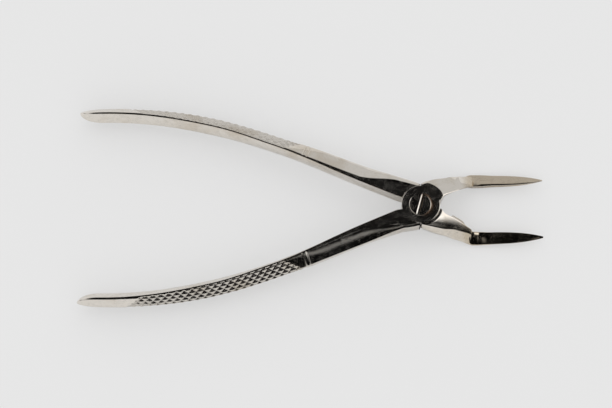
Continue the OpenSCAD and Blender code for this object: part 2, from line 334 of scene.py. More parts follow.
def skin(name, rings, flip, tags=None):
    """Closed mesh through equal rings of points, with a fan at each end. The tags are numbers
    to keep for the rings' points."""
    count, round_it = len(rings), len(rings[0])
    ends = [rings[0].mean(0), rings[-1].mean(0)]
    points = np.concatenate(rings + [np.array(ends)])
    j = np.arange(round_it)
    after = (j + 1) % round_it
    faces = []
    for i in range(count - 1):
        a, b = i * round_it + j, i * round_it + after
        c, d = b + round_it, a + round_it
        faces += np.stack([a, b, c, d], 1).tolist()
    last = (count - 1) * round_it
    first_mid, last_mid = count * round_it, count * round_it + 1
    faces += np.stack([after, j, np.full(round_it, first_mid)], 1).tolist()
    faces += np.stack([last + j, last + after, np.full(round_it, last_mid)], 1).tolist()
    if flip:
        faces = [f[::-1] for f in faces]
    made = solid(name, points.tolist(), faces)
    for tag, values in (tags or {}).items():
        store(made, tag, np.concatenate([values, np.zeros(len(ends))]))
    return made


TURN_STEPS = 192


def lathe(name, outline):
    """Closed turned solid from (radius, height) points that start and end on the axis,
    listed from the bottom up."""
    steps = TURN_STEPS
    turn = np.arange(steps) * 2 * pi / steps
    rings = outline[1:-1]
    points = [(r * cos(a), r * sin(a), z) for r, z in rings for a in turn]
    points += [(0, 0, outline[0][1]), (0, 0, outline[-1][1])]
    low, high = len(points) - 2, len(points) - 1
    top = (len(rings) - 1) * steps
    faces = []
    for j in range(steps):
        k = (j + 1) % steps
        faces.append((low, k, j))
        for a in range(0, top, steps):
            b = a + steps
            faces.append((a + j, a + k, b + k, b + j))
        faces.append((top + j, top + k, high))
    return solid(name, points, faces)


def prism(name, first, last):
    """Closed prism between two equal outlines of points. Seen from outside, the last runs
    anticlockwise and the first clockwise."""
    n = len(first)
    faces = [tuple(range(n))[::-1], tuple(range(n, 2 * n))]
    faces += [(i, (i + 1) % n, n + (i + 1) % n, n + i) for i in range(n)]
    return solid(name, first + last, faces)


def combine(base, other, operation):
    """Join or cut base with other, which is used up."""
    modifier = base.modifiers.new(operation, "BOOLEAN")
    modifier.operation = operation
    modifier.solver = "MANIFOLD"
    modifier.object = other
    flatten(base)
    bpy.data.objects.remove(other)
    return base


def flatten(base):
    """Turn an object's modifiers into plain mesh."""
    graph = bpy.context.evaluated_depsgraph_get()
    mesh = bpy.data.meshes.new_from_object(base.evaluated_get(graph))
    base.modifiers.clear()
    base.data = mesh
    return base


SHARP_ANGLE = radians(18)


def finish_surface(piece, steel):
    """Give a piece its steel and smooth shading with crisp edges."""
    mesh = piece.data
    mesh.materials.clear()
    mesh.materials.append(steel)
    mesh.shade_smooth()
    mesh.set_sharp_from_angle(angle=SHARP_ANGLE)
    weigh = piece.modifiers.new("weigh", "WEIGHTED_NORMAL")
    weigh.keep_sharp = True
    weigh.weight = 100
    return flatten(piece)


# Node trees


class Wire:
    """A socket that can be added, multiplied and so on by Math nodes."""

    def __init__(self, tree, socket):
        self.tree = tree
        self.socket = socket

    def _math(self, operation, a, b):
        return self.tree.math(operation, a, b)

    def __add__(self, other):
        return self._math("ADD", self, other)

    __radd__ = __add__

    def __sub__(self, other):
        return self._math("SUBTRACT", self, other)

    def __rsub__(self, other):
        return self._math("SUBTRACT", other, self)

    def __mul__(self, other):
        return self._math("MULTIPLY", self, other)

    __rmul__ = __mul__

    def __truediv__(self, other):
        return self._math("DIVIDE", self, other)

    def __rtruediv__(self, other):
        return self._math("DIVIDE", other, self)

    def __pow__(self, other):
        return self._math("POWER", self, other)


class Tree:
    """Adds nodes to one node tree."""

    def __init__(self, tree):
        self.tree = tree

    def add(self, kind, settings=None, sockets=None):
        """New node: its settings first, then the values or links of its sockets."""
        node = self.tree.nodes.new(kind)
        for name, value in (settings or {}).items():
            setattr(node, name, value)
        for name, value in (sockets or {}).items():
            socket = node.inputs[name]
            if isinstance(value, Wire):
                self.tree.links.new(value.socket, socket)
            elif isinstance(value, bpy.types.NodeSocket):
                self.tree.links.new(value, socket)
            else:
                socket.default_value = value
        return node

    def wire(self, node, name):
        """A node's output, ready for sums."""
        return Wire(self, node.outputs[name])

    def math(self, operation, a, b=0.0):
        """One Math node on two values."""
        node = self.add("ShaderNodeMath", {"operation": operation}, {0: a, 1: b})
        return self.wire(node, 0)

    def least(self, a, b):
        return self.math("MINIMUM", a, b)

    def most(self, a, b):
        return self.math("MAXIMUM", a, b)

    def step(self, value, low, high):
        """0 below low, 1 above high, eased between."""
        node = self.add("ShaderNodeMapRange", {"interpolation_type": "SMOOTHSTEP"},
                        {"Value": value, "From Min": low, "From Max": high})
        return self.wire(node, "Result")

    def band(self, value, rise, fall):
        """1 between a rise and a fall, each eased from its first value to its second."""
        return self.step(value, *rise) * (1 - self.step(value, *fall))

    def blend(self, factor, a, b):
        """Mix two colours."""
        node = self.add("ShaderNodeMix", {"data_type": "RGBA"}, {0: factor, 6: a, 7: b})
        return node.outputs[2]

    def attribute(self, name):
        """A number kept on the mesh."""
        return self.wire(self.add("ShaderNodeAttribute", {"attribute_name": name}), "Fac")

    def noise(self, place, scale, detail, roughness):
        """Soft noise over a place."""
        node = self.add("ShaderNodeTexNoise", None, {"Vector": place, "Scale": scale,
                                                     "Detail": detail, "Roughness": roughness})
        return self.wire(node, "Fac")


def rgba(value):
    """A colour with its alpha."""
    return (*value, 1)


def grip_tree():
    """Geometry Nodes tree that files the cross-cut grip and the ring lines into a handle."""
    group = bpy.data.node_groups.new("Cross-cut grip", "GeometryNodeTree")
    tree = Tree(group)
    socket = group.interface.new_socket
    socket("Geometry", in_out="INPUT", socket_type="NodeSocketGeometry")
    names = ["Pitch", "Groove Width", "Groove Depth", "Start", "End", "Ring Place",
              "Ring Pitch", "Ring Width", "Ring Depth"]
    for name in names:
        socket(name, in_out="INPUT", socket_type="NodeSocketFloat")
    socket("Steel", in_out="INPUT", socket_type="NodeSocketMaterial")
    socket("Geometry", in_out="OUTPUT", socket_type="NodeSocketGeometry")
    given = tree.add("NodeGroupInput")
    value = {name: tree.wire(given, name) for name in names}

    def named(name):
        node = tree.add("GeometryNodeInputNamedAttribute", {"data_type": "FLOAT"}, {"Name": name})
        return tree.wire(node, "Attribute")

    along, around, flank = named("along"), named("around"), named("flank")

    def cut(distance, width):
        """Depth of a V-shaped cut at a distance from its middle, as a share."""
        return tree.most(1 - 2 * distance / width, 0.0)

    def lines(run):
        """Distance from the nearest of the evenly spaced lines."""
        turns = run / value["Pitch"]
        return tree.math("ABSOLUTE", turns - tree.math("ROUND", turns)) * value["Pitch"]

    slant = cos(pi / 4)
    first = cut(lines((along + around) * slant), value["Groove Width"])
    second = cut(lines((along - around) * slant), value["Groove Width"])
    fade = 0.4 * mm
    first_edge = along + around - value["Start"]
    last_edge = value["End"] - along + around
    inside = tree.step(first_edge, 0.0, fade) * tree.step(last_edge, 0.0, fade) * flank
    grip = tree.most(first, second) * inside
    from_ring = along - value["Ring Place"]
    ring = tree.most(
        cut(tree.math("ABSOLUTE", from_ring), value["Ring Width"]),
        cut(tree.math("ABSOLUTE", from_ring + value["Ring Pitch"]), value["Ring Width"])) * flank
    depth = grip * value["Groove Depth"] + ring * value["Ring Depth"]
    normal = tree.add("GeometryNodeInputNormal")
    offset = tree.add("ShaderNodeVectorMath", {"operation": "SCALE"},
                      {0: normal.outputs[0], "Scale": depth * -1})
    moved = tree.add("GeometryNodeSetPosition", None,
                     {"Geometry": given.outputs["Geometry"], "Offset": offset.outputs[0]})
    kept = moved
    for name, number in (("groove", tree.most(grip, ring)), ("grip", inside)):
        kept = tree.add("GeometryNodeStoreNamedAttribute",
                        {"data_type": "FLOAT", "domain": "POINT"},
                        {"Geometry": kept.outputs[0], "Name": name, "Value": number})
    real = tree.add("GeometryNodeRealizeInstances", None, {"Geometry": kept.outputs[0]})
    dressed = tree.add("GeometryNodeSetMaterial", None,
                       {"Geometry": real.outputs[0], "Material": given.outputs["Steel"]})
    tree.add("NodeGroupOutput", None, {"Geometry": dressed.outputs[0]})
    return group


def file_grip(handle, sizes, start, end, steel):
    """File the grip into one handle, from and to the given distances along it."""
    group = grip_tree()
    modifier = handle.modifiers.new("Cross-cut grip", "NODES")
    modifier.node_group = group
    values = {
        "Pitch": sizes.pitch,
        "Groove Width": sizes.groove_w,
        "Groove Depth": sizes.groove_d,
        "Start": start,
        "End": end,
        "Ring Place": start - sizes.ring_back,
        "Ring Pitch": sizes.ring_pitch,
        "Ring Width": sizes.ring_w,
        "Ring Depth": sizes.ring_d,
        "Steel": steel,
    }
    for item in group.interface.items_tree:
        if item.in_out == "INPUT" and item.name in values:
            modifier[item.identifier] = values[item.name]
    return flatten(handle)


# Materials


def new_material(name):
    """Empty material and its node tree."""
    material = bpy.data.materials.new(name)
    material.use_nodes = True
    material.node_tree.nodes.clear()
    return material, Tree(material.node_tree)


def steel_material(name, colours, worn):
    """Polished plated steel: faint cloudiness, hairline scratches, and grooves darkened partly
    by dirt and partly as painted shade. It is warmer at the beaks. Round the screw, to the
    right of its middle and as far as worn, it is brown, partly a stain and partly painted
    shade. The stop gap is painted near black as painted shade."""
    material, tree = new_material(name)
    place = tree.add("ShaderNodeTexCoord").outputs["Object"]
    stretched = tree.add("ShaderNodeMapping", None, {"Vector": place, "Scale": (0.18, 1, 1)})
    turned = tree.add("ShaderNodeMapping", None, {"Vector": place, "Rotation": (0, 0, 0.7),
                                                  "Scale": (0.05, 1, 1)})
    cloud = tree.noise(place, 90.0, 3.0, 0.55)
    haze = tree.noise(place, 420.0, 4.0, 0.6)
    wave = tree.noise(place, 260.0, 2.0, 0.5)
    hairs = tree.noise(stretched.outputs[0], 5200.0, 2.0, 0.7)
    scratches = tree.step(tree.noise(turned.outputs[0], 1500.0, 3.0, 0.6), 0.64, 0.69)
    groove = tree.attribute("groove")
    grip = tree.attribute("grip")
    recess = tree.attribute("recess")

    parts = tree.add("ShaderNodeSeparateXYZ", None, {0: place})
    x, y = tree.wire(parts, "X"), tree.wire(parts, "Y")
    at_beaks = tree.step(x, 14.8 * mm, 19 * mm)
    at_upper = tree.step(y, 0.0, 10 * mm)
    at_right = tree.step(x, -1.5 * mm, 2 * mm)

    thin = tree.least(tree.step(cloud, 0.42, 0.72) * 0.55 + at_beaks * 0.95, 1.0)
    # Darker in the grooves and ring lines and faintly over the grip: partly dirt, partly painted
    # shade. The +Y handle gets less in its grooves and more over its grip, painted to suit how
    # that side is lit.
    groove_darkening = groove ** 1.6 * 0.38 * (1 - at_upper * 0.6) + grip * (0.05 + at_upper * 0.1)
    # Brown round the screw, only right of its middle: partly a stain, partly painted shade that
    # darkens the right side of the rings and the slot.
    brown = tree.step(recess * (0.75 + cloud), 0.25, 0.9) * at_right * worn
    # Near black where recess reaches 2, in the stop gap: painted shade.
    gap = tree.step(recess, 1.1, 1.6)
    base = tree.blend(thin, rgba(colours.steel), rgba(colours.warm))
    base = tree.blend(groove_darkening, base, rgba(colours.groove_dirt_shade))
    base = tree.blend(brown, base, rgba(colours.stain))
    base = tree.blend(gap, base, rgba(colours.gap))

    rough = (0.06 + tree.step(haze, 0.45, 0.8) * 0.05 + groove_darkening * 0.25 + brown * 0.25
             + gap * 0.5)
    height = wave * 1.6 + haze * 0.35 + hairs * 0.1 - scratches * 0.25
    bump = tree.add("ShaderNodeBump", None,
                    {"Strength": 0.6, "Distance": 0.05 * mm, "Height": height})

    def metal(roughness):
        node = tree.add("ShaderNodeBsdfPrincipled", None,
                        {"Base Color": base, "Metallic": 1.0, "Roughness": roughness,
                         "Normal": bump.outputs[0]})
        return node.outputs[0]

    veil = tree.step(haze, 0.44, 0.66) * 0.13 + tree.step(cloud, 0.48, 0.68) * 0.05
    dull_share = tree.least(veil + scratches * 0.2 + grip * 0.1, 1.0)
    both = tree.add("ShaderNodeMixShader", None, {0: dull_share, 1: metal(rough), 2: metal(0.5)})
    tree.add("ShaderNodeOutputMaterial", None, {"Surface": both.outputs[0]})
    return material


def floor_material(colours):
    """Pale matt surface with the faintest mottling, half of it lit evenly for the camera."""
    material, tree = new_material("floor_matt")
    place = tree.add("ShaderNodeTexCoord").outputs["Object"]
    mottle = tree.noise(place, 9.0, 3.0, 0.5) * 0.12
    darker = tuple(0.93 * c for c in colours.floor)
    base = tree.blend(mottle, rgba(colours.floor), rgba(darker))
    matt = tree.add("ShaderNodeBsdfDiffuse", None, {"Color": base})
    pale = tree.add("ShaderNodeEmission", None, {"Color": base})
    seen = tree.wire(tree.add("ShaderNodeLightPath"), "Is Camera Ray")
    both = tree.add("ShaderNodeMixShader", None,
                    {0: seen * 0.5, 1: matt.outputs[0], 2: pale.outputs[0]})
    tree.add("ShaderNodeOutputMaterial", None, {"Surface": both.outputs[0]})
    return material


# Levers


def joint_sizes():
    """The joint's sizes."""
    return bpy.context.scene.forceps_joint


def waist_y():
    """From the middle line to the outer side of a stop face."""
    j = joint_sizes()
    return j.disc_r + j.shoulder_gap + j.waist_wall


class Track:
    """Middle line of a handle on the +Y side, by its share u."""

    ROOT_CLEAR = 0.55 * mm
    ARMS_IN_REACH = 3.14
    END_ARM = 1.23
    SKEW_END = 0.45

    def __init__(self, s, skew):
        arm = s.reach / self.ARMS_IN_REACH
        self.skew = skew
        start = np.array([-joint_sizes().disc_r - self.ROOT_CLEAR, s.root_y])
        end = np.array([-s.reach, s.spread])
        root_way = np.array([-cos(s.root_angle), sin(s.root_angle)])
        end_way = np.array([cos(s.end_angle), sin(s.end_angle)])
        self.points = [start, start + arm * root_way, end + self.END_ARM * arm * end_way, end]

    def place(self, u):
        """Plan point at u."""
        a, b, c, d = self.points
        v = 1 - u
        base = v ** 3 * a + 3 * v * v * u * b + 3 * v * u * u * c + u ** 3 * d
        return base + np.array([0, self.skew * fades(u, 0, self.SKEW_END)])

    def heading(self, u):
        """Direction along the handle at u, its shift at the joint left out."""
        a, b, c, d = self.points
        v = 1 - u
        way = v * v * (b - a) + 2 * v * u * (c - b) + u * u * (d - c)
        return way / np.hypot(*way)


# Places along a handle, as shares of its length: the ends of its flat top, the growth of its
# section into the grip's, the slimmest, deepest and thickest places, and its flatter end
FLAT_END = 0.13
TAPER_END = 0.3
GROWN_FROM, GROWN_OVER = 0.25, 0.17
SLIMMEST = 0.42
DEEPEST, THICKEST = 0.6, 0.62
END_FROM, END_OVER = 0.84, 0.05
LAST = 0.98


def handle_form(u, s, track):
    """Sizes of a handle's section at the share u of its length, in the order in which
    handle_section takes them, with its inner and outer plan points and its height."""
    j = joint_sizes()
    cap = s.cap / s.reach
    least_shrink = 0.02
    in_cap = max(0, (u - 1 + cap) / cap)
    shrink = np.sqrt(max(least_shrink ** 2, 1 - in_cap ** 2))
    root_extra = (s.thick_root - s.thick_neck) * max(0, 1 - u / SLIMMEST) ** 2
    thick = shrink * (root_extra + eased(max(u, SLIMMEST), [
        (SLIMMEST, s.thick_neck), (THICKEST, s.thick_grip), (LAST, s.thick_end)]))
    deep = mix(1, shrink, 0.9) * eased(u, [
        (0, j.height), (DEEPEST, s.deep_grip), (LAST, s.deep_end)])
    bulge = shrink * eased(u, [(0.12, 0), (SLIMMEST, 0.57 * s.inner_bulge),
                               (THICKEST, s.inner_bulge), (0.96, s.end_bulge)])

    # Most of the flat on top ends soon after the joint; the rest tapers on.
    taper_share = 0.3
    level = mix(fades(u, 0, FLAT_END), max(0, 1 - u / TAPER_END), taper_share)
    grown = rises(u, GROWN_FROM, GROWN_OVER)
    place = shrink * (s.ridge + s.top_flat * level)
    ridge_soft, grip_soft = 0.22 * mm, 0.2 * mm
    soft = shrink * (ridge_soft + grip_soft * grown + s.shoulder * level)

    natural = (thick - bulge - place) * (tan(s.flank_in) + tan(s.flank_out)) / 2
    most_drop = 0.46 * deep
    drop = mix(min(natural, most_drop), most_drop, grown)
    grip_rise, end_rise = 0.8, 0.15
    rise = mix(tan(s.flank_out) / tan(s.flank_in) - 1, grip_rise, grown)
    rise = mix(rise, end_rise, rises(u, END_FROM, END_OVER))
    rounding = mix(2 * s.edge_round, s.edge_round, rises(u, 0, 0.35))
    rounding += 0.6 * mm * (1 - shrink)

    d = track.heading(u)
    out = np.array([d[1], -d[0]])
    p = track.place(u) + out * s.cap_lean * (1 - shrink) * s.thick_end / 2
    drop_power = 1.4
    height = j.height / 2 - s.drop * u ** drop_power
    form = np.array([thick, deep, bulge, place, soft, drop, rise, shrink * rounding])
    return form, p - out * thick / 2, p + out * thick / 2, height


def handle_ring(form, p, q, middle):
    """Points and rows of a handle's section between its plan points p and q."""
    rows = handle_section(*form)
    return stand(p, q, rows[:, 0], middle + rows[:, 1]), rows


ROOT_STEPS, TIP_STEPS = 24, 22


def handle_runs(s, track):
    """Shares of a handle's length at which its sections stand, and their true distances.
    They stand closer from before the grip to after it."""
    coarse, fine = 0.7 * mm, 0.21 * mm
    before_grip, after_grip = 9 * mm, 7 * mm
    u = np.linspace(0, 1, 2000)
    line = np.array([track.place(v) for v in u])
    run = np.concatenate([[0], np.cumsum(np.hypot(*np.diff(line, axis=0).T))])
    start, end = np.interp([s.grip_start, s.grip_end], u, run)
    total = run[-1]
    first = np.arange(0, start - before_grip, coarse)
    gripped = np.arange(first[-1] + coarse, end + after_grip, fine)
    cap = s.cap * 0.98
    rest = np.arange(gripped[-1] + 0.5 * mm, total - cap, coarse)
    tip = total - cap + cap * np.sin(np.linspace(0, pi / 2, TIP_STEPS))
    runs = np.concatenate([first, gripped, rest, tip])
    return np.interp(runs, run, u), runs, start, end


def handle(name, side, skew):
    """Handle on the +Y side for side 1, or the -Y side for side -1, with the distances at
    which its grip starts and ends."""
    scene = bpy.context.scene
    s, j = scene.forceps_handle, scene.forceps_joint
    track = Track(s, skew * side)
    face_x, inner = -j.stop_gap / 2, 0.5 * mm
    wide = waist_y() - inner
    stop_face = {"thick": wide, "deep": j.height, "bulge": 0, "place": wide - 1.1 * mm,
                 "soft": 0.35 * mm, "drop": 1 * mm, "rise": 0.5, "rounding": 0.15 * mm}
    face = (np.array(list(stop_face.values())), np.array([face_x, inner]),
            np.array([face_x, waist_y()]), j.height / 2)
    first = handle_form(0, s, track)
    uncut = -1.0
    bare_edge, edge_fade = 0.4 * mm, 0.6 * mm
    rings, along, around, flank = [], [], [], []

    def add(ring, rows, distance, on_flank):
        """Add a ring at a distance along the handle, with its share of the cuts."""
        rings.append(ring)
        along.append(np.full(len(rows), distance))
        around.append(rows[:, 2])
        flank.append(on_flank)

    for t in np.linspace(0, 1, ROOT_STEPS)[:-1]:
        ring, rows = handle_ring(*[mix(a, b, t) for a, b in zip(face, first)])
        add(ring, rows, uncut, 0 * rows[:, 3])
    shares, runs, start, end = handle_runs(s, track)
    for u, distance in zip(shares, runs):
        ring, rows = handle_ring(*handle_form(u, s, track))
        from_middle = np.abs(rows[:, 2])
        edge = from_middle[rows[:, 3] > 0].max()
        inside = smooth((edge - from_middle - bare_edge) / edge_fade)
        add(ring, rows, distance, rows[:, 3] * inside)
    if side < 0:
        rings = [r * [1, -1, 1] for r in rings]
    tags = {"along": np.concatenate(along), "around": np.concatenate(around),
            "flank": np.concatenate(flank)}
    return skin(name, rings, side < 0, tags), start, end


NECK_STEPS = {"flank": 26, "wall": 4, "low": 14, "low_flat": 6, "inner": 22, "top": 28}
ROUND_STEPS = 14

# What each lever's neck and beak have to themselves: their side of the middle line, the rim
# of the neck's flat top as a circle's centre and radius, the (place, height) of its widest line
# in mm and the rounding of its edges; how much earlier and longer the beak's round end is; how
# far before the heel the neck's end starts to shrink; the rounding of the heel's corners; and 1
# where the neck's inner side and the heel swell.
OVER_NECK = {
    "side": 1,
    "rim": ((2.2 * mm, 1.6 * mm), 6.45 * mm),
    "widest": [(4, 8), (10.6, 6), (14.4, 3.4), (17, 0.6), (20, -1.6)],
    "edge_round": 0.4 * mm,
    "heel_lead": 1.4 * mm,
    "heel_more": 1.2 * mm,
    "shrink_back": 1.6 * mm,
    "corner_round": 0,
    "swollen": 0,
}
UNDER_NECK = {
    "side": -1,
    "rim": ((0.9 * mm, 0.6 * mm), 7.3 * mm),
    "widest": [(2, 6.4), (4.5, 5.0), (8, 3.8), (13.5, 0.3), (20, -2.7)],
    "edge_round": 0.13 * mm,
    "heel_lead": 0,
    "heel_more": 0,
    "shrink_back": 2 * mm,
    "corner_round": 0.3 * mm,
    "swollen": 1,
}


def neck_outline(pieces, rounding):
    """Section of the neck or beak from its six lines, in the order of NECK_STEPS."""
    counted = list(zip(pieces, NECK_STEPS.values()))
    n, z, _, _ = outline(counted, rounding)
    return n, z


def neck_and_beak(name, own):
    """Neck and beak with their own sizes. The top is flat inside the rim, and falls away
    outside it."""
    scene = bpy.context.scene
    b, j = scene.forceps_beak, scene.forceps_joint
    (cx, cy), rim_radius = own["rim"]
    side, swollen = own["side"], own["swollen"]
    start_x = j.stop_gap / 2
    neck_start = j.disc_r + 2.25 * mm
    beak_length = b.reach - b.heel_x

    def top_at(x, y):
        """Height of the neck's top."""
        out = np.hypot(x - cx, y - cy)
        d = np.maximum(out - rim_radius, 0)
        sideways = ((y - cy) / out) ** 2
        return j.height - d * (b.fall + b.side_fall * sideways + b.fall_more * d)

    def inner_edges(x, root):
        """Upper and lower inner edge of the neck at x, from the middle line."""
        upper_slope, lower_slope = 0.472, 0.43
        least = mix(0.3 * mm, 0.5 * mm, root)
        upper = 3.2 * mm + upper_slope * (x - 8.75 * mm)
        hollow = 0.4 / mm * max(0, 9.4 * mm - x) ** 2
        high_in = max(least, upper - hollow)
        lower = 5.4 * mm + lower_slope * (x - 10.6 * mm)
        return high_in, mix(high_in, lower, rises(x, 7.6 * mm, 2.4 * mm))

    def top_line(x, high_in, outer):
        """Points across the neck's top at x, half of them inside the rim."""
        dip = 1.3 * mm * (1 - min(1, x / (9 * mm))) ** 1.3
        spread = 0.13 * max(0, x - 13 * mm)
        edge = max(min(b.crease_y - dip + spread, outer - 0.3 * mm), high_in + 0.4 * mm)
        half_chord = np.sqrt(max(0, rim_radius ** 2 - (x - cx) ** 2))
        rim_y = np.clip(cy + half_chord, high_in + 0.1 * mm, edge - 0.1 * mm)
        ys = np.concatenate([np.linspace(high_in, rim_y, FINE // 2),
                             np.linspace(rim_y, edge, FINE // 2 + 1)[1:]])
        return np.stack([ys, top_at(x, ys)], 1)

    def neck(x):
        """Lines of the neck's section at x."""
        s = min(1, (x - neck_start) / (b.heel_x - neck_start))
        root = np.clip((x - start_x) / (neck_start - start_x), 0, 1)
        high_in, low_in = inner_edges(x, root)
        if s < 0:
            outer = mix(waist_y(), b.neck_y, root ** 0.6)
        else:
            outer = mix(b.neck_y, b.heel_y + b.heel_w / 2, s)
        low = eased(x, [(neck_start + 3.5 * mm, 0), (b.heel_x, b.heel_z - b.heel_h / 2)])
        top = top_line(x, high_in, outer)
        wide_z = min(eased(x / mm, own["widest"]) * mm, top[-1, 1] - 0.3 * mm)
        under_wide = wide_z - 0.1 * mm
        drawn_in = mix(0.2 * (wide_z - low), 0.5 * mm, max(0, s))
        foot = (outer - drawn_in, low)
        inner_foot = (low_in + 0.3 * mm, low)
        swell = swollen * rises(x, 10.7 * mm, 1.6 * mm) * fades(x, 15.8 * mm, 2.4 * mm)
        inner_way = (mix(low_in, high_in - 3.1 * mm, swell),
                     mix(low, top[0, 1], mix(0.4, 0.85, swell)))
        outer_way = mix(top[-1], np.array([outer, wide_z]), 0.5) + [0.15 * mm, 0.1 * mm]
        foot_way = (mix(foot[0], outer, 0.8), mix(low, wide_z, 0.3))
        return [
            bend(top[-1], outer_way, (outer, wide_z)),
            np.array([[outer, wide_z], [outer, under_wide]]),
            bend((outer, under_wide), foot_way, foot),
            np.array([foot, inner_foot]),
            bend(inner_foot, inner_way, top[0]),
            top,
        ]

    def beak(x):
        """Lines of the beak's section at x."""
        width_power, depth_power = 3.5, 2.4
        past = x - b.heel_x
        s = max(0, past / beak_length)
        wide = mix(b.beak_w, b.tip_w, s ** width_power)
        wide += (b.heel_w - b.beak_w) * fades(past, 1 * mm, 7 * mm)
        deep = mix(b.heel_h, b.tip_h, s ** depth_power)
        y, middle = mix(b.heel_y, b.tip_y, s), mix(b.heel_z, b.tip_z, s)
        low, high, inner, outer = middle - deep / 2, middle + deep / 2, y - wide / 2, y + wide / 2
        hollow = b.gouge * rises(past, 2 * mm, 4 * mm) * (1 - s ** 3)
        knob = swollen * b.heel_rise * fades(past, -0.8 * mm, 2.4 * mm)
        flat = 0.05 * mm + 0.55 * mm * rises(past, 0.5 * mm, 2 * mm) * (1 - s)
        flat += 1.1 * mm * swollen * fades(past, 1 * mm, 4 * mm)
        soft, rise = 0.12 * mm + 0.5 * knob, 0.4
        side_z = high - 0.55 * deep
        under_side = side_z - 0.05 * deep
        edge_z = high - 0.05 * mm
        foot, inner_foot = (mix(outer, inner, 0.25), low), (inner + 0.1 * mm, low)
        return [
            flank_line((inner, high + knob), outer, high + knob - side_z, flat, soft, rise),
            np.array([[outer, side_z], [outer, under_side]]),
            bend((outer, under_side), (outer - 0.05 * wide, low + 0.08 * deep), foot),
            np.array([foot, inner_foot]),
            bend(inner_foot, (inner + 2 * hollow, middle), (inner, edge_z)),
            np.array([[inner, edge_z], [inner, high + knob]]),
        ]

    def section(x, lines, rounding, scale):
        """Ring through a section's lines at x, scaled about the beak's middle."""
        n, z = neck_outline(lines, rounding)
        centre = np.array([b.heel_y, mix(b.heel_z, b.tip_z, max(0, x - b.heel_x) / beak_length)])
        points = np.stack([n, z], 1) * scale + centre * (1 - scale)
        return np.insert(points, 0, x, 1) * [1, side, 1]

    # The neck's end shrinks into the beak. Its sections stand closest where its wall bends.
    shrink_back, most_shrunk = own["shrink_back"], 0.85
    bend_from, bend_to = 7.9 * mm, 10 * mm
    neck_xs = np.concatenate([np.arange(start_x, bend_from, 0.3 * mm),
                              np.arange(bend_from, bend_to, 0.12 * mm),
                              np.arange(bend_to, b.heel_x, 0.25 * mm)])
    neck_rings = []
    for x in neck_xs:
        shrunk = most_shrunk * rises(x, b.heel_x - shrink_back, shrink_back + 0.7 * mm)
        neck_rings.append(section(x, neck(x), own["edge_round"], 1 - shrunk))

    heel_start = b.heel_x - b.heel_back - own["heel_lead"]
    heel_round = b.heel_round + own["heel_more"]
    heel_end, tip_start = b.heel_x + 2 * mm, b.reach - 2 * mm
    swell = 1 - np.cos(np.linspace(0.12, pi / 2, ROUND_STEPS))
    round_tip = np.sin(np.linspace(0, pi / 2, ROUND_STEPS))
    beak_xs = np.concatenate([heel_start + heel_round * swell,
                              np.arange(heel_start + heel_round, heel_end, 0.2 * mm)[1:],
                              np.arange(heel_end, tip_start - 0.2 * mm, 0.35 * mm),
                              tip_start + 2 * mm * round_tip])
    beak_rings = []
    for x in beak_xs:
        short = max(0, 1 - (x - heel_start) / heel_round)
        past = x - b.heel_x
        rounding = (mix(0.14, 0.05, max(0, past / beak_length)) * mm
                    + own["corner_round"] * fades(past, 3 * mm, 5 * mm))
        beak_rings.append(section(x, beak(x), rounding, np.sqrt(1 - short ** 2)))
    made = skin(name, neck_rings, side > 0)
    return combine(made, skin("beak", beak_rings, side > 0), "UNION")


def wedge(side):
    """Air between the necks, on the inner side of the neck on that side."""
    j = joint_sizes()
    far = 3 * j.disc_r
    a = j.face_angle
    corners = [(0, -far), (far, -far), (far, 0), (far / 2 * cos(a), far / 2 * sin(a)), (0, 0)]
    if side < 0:
        corners = [(x, -y) for x, y in corners][::-1]
    return prism("wedge", [(x, y, -j.height) for x, y in corners],
                 [(x, y, 2 * j.height) for x, y in corners])


def shoulder_cut(low, high, over):
    """Turned cutter for the other lever's disc. It flares past the joint's lower side on the
    over lever and past its upper side on the under lever, which breaks the edge it leaves."""
    j = joint_sizes()
    f, past = j.round_edge, 0.5 * mm
    radius = j.disc_r + j.shoulder_gap
    wide = radius + f + past
    if over:
        line = [(wide, low), (wide, -past), (radius, f), (radius, high)]
    else:
        line = [(radius, low), (radius, j.height - f), (wide, j.height + past), (wide, high)]
    return lathe("cutter", [(0, low), *line, (0, high)])


def disc(low, high, over):
    """Half-thickness disc whose outer edge is rounded on its open side."""
    j = joint_sizes()
    r, f = j.disc_r, j.round_edge
    facet = 0.3 * f
    if over:
        line = [(r, low), (r, high - f), (r - facet, high - facet), (r - f, high)]
    else:
        line = [(r - f, low), (r - facet, low + facet), (r, low + f), (r, high)]
    return lathe("disc", [(0, low), *line, (0, high)])


def bore(over):
    """Cutter for the screw: its shank and sunk head in the over lever, its shank and riveted
    tail in the under lever."""
    j = joint_sizes()
    shank_r, tail_r = j.shank_d / 2, j.tail_d / 2
    if over:
        low, high = j.height / 2 - 1 * mm, j.height + 0.3 * mm
        bore_r, head_bore_r = shank_r + j.shank_gap, HEAD_R + j.head_gap
        seat = SCREW_HIGH.z - j.head_h - j.head_gap
        edge, flare = 0.16 * mm, 0.38 * mm
        line = [(bore_r, low), (bore_r, seat), (head_bore_r, seat),
                (head_bore_r, j.height - 0.8 * edge), (head_bore_r + edge + flare, high)]
    else:
        low, high = -0.2 * mm, j.height
        line = [(tail_r + 0.15 * mm, low), (tail_r, 0), (shank_r, j.tail_h), (shank_r, high)]
    return lathe("bore", [(0, low), *line, (0, high)])


